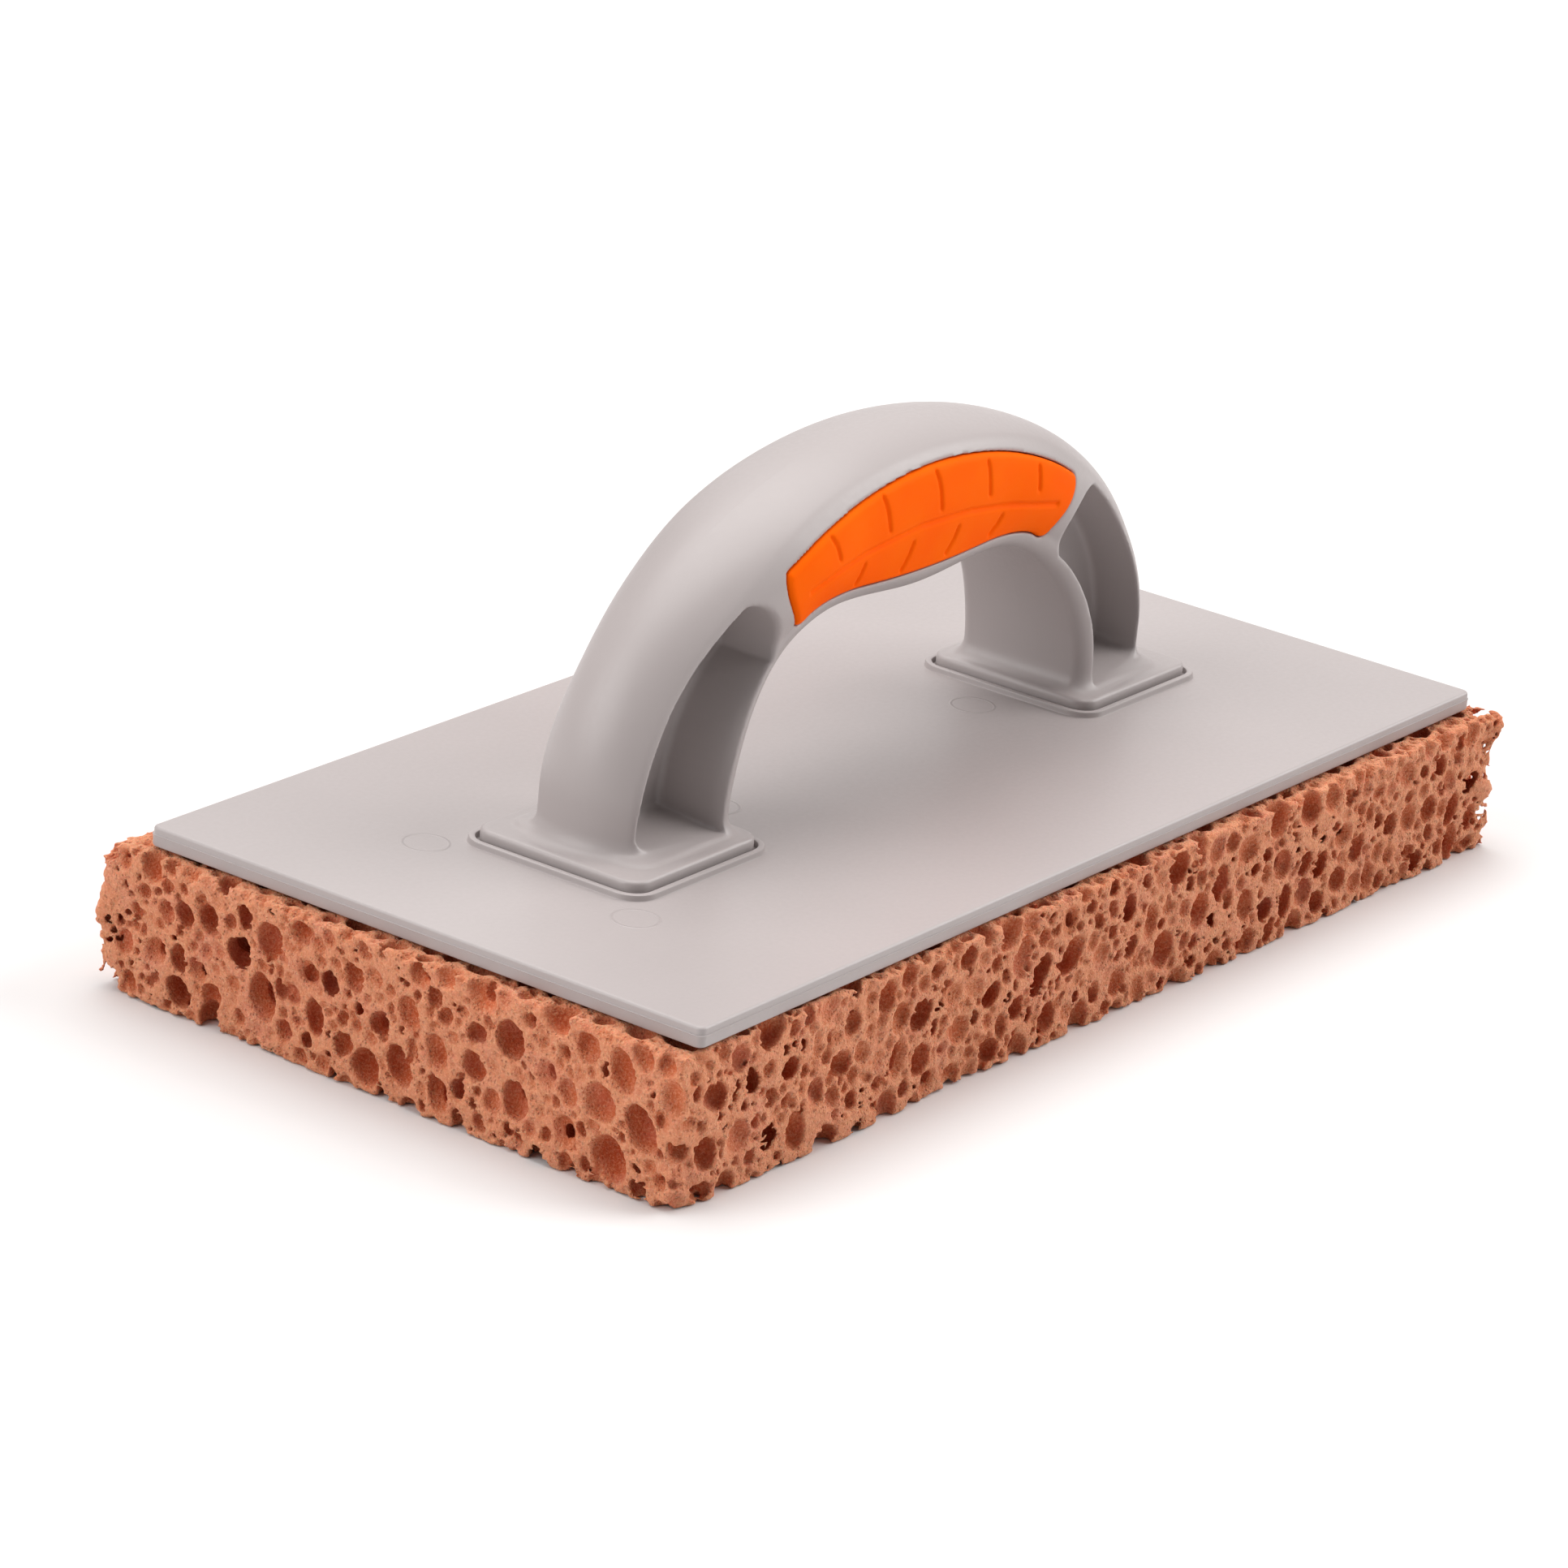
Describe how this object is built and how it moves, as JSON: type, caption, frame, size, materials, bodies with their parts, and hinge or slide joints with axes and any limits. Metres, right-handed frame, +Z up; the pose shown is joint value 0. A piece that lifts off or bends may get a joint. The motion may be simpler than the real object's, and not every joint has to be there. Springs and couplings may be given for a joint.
{
  "type": "grout float",
  "caption": "Hand float for washing tile grout: a coarse sponge glued under a flat plastic plate with an arched two-leg handle and soft grip pads.",
  "frame": {"origin": "middle of the sponge's underside, which is the middle of the whole float's bottom", "axes": "+Z up from the working face, +X along the float's length, +Y across its width"},
  "size_m": [0.2792, 0.1426, 0.1045],
  "materials": {
    "sponge": "coarse open-pored terracotta sponge",
    "adhesive": "dull contact adhesive film",
    "plate_plastic": "satin warm grey moulded plastic",
    "handle_plastic": "satin warm grey moulded plastic",
    "grip_rubber": "matte orange soft grip",
    "screw_steel": "bright zinc plate"
  },
  "bodies": {
    "root": {"sponge_pad": "sponge", "adhesive_layer": "adhesive", "backing_plate": "plate_plastic", "handle_body": "handle_plastic", "front_grip_pad": "grip_rubber", "rear_grip_pad": "grip_rubber", "left_handle_screw": "screw_steel", "right_handle_screw": "screw_steel"}
  },
  "joints": []
}
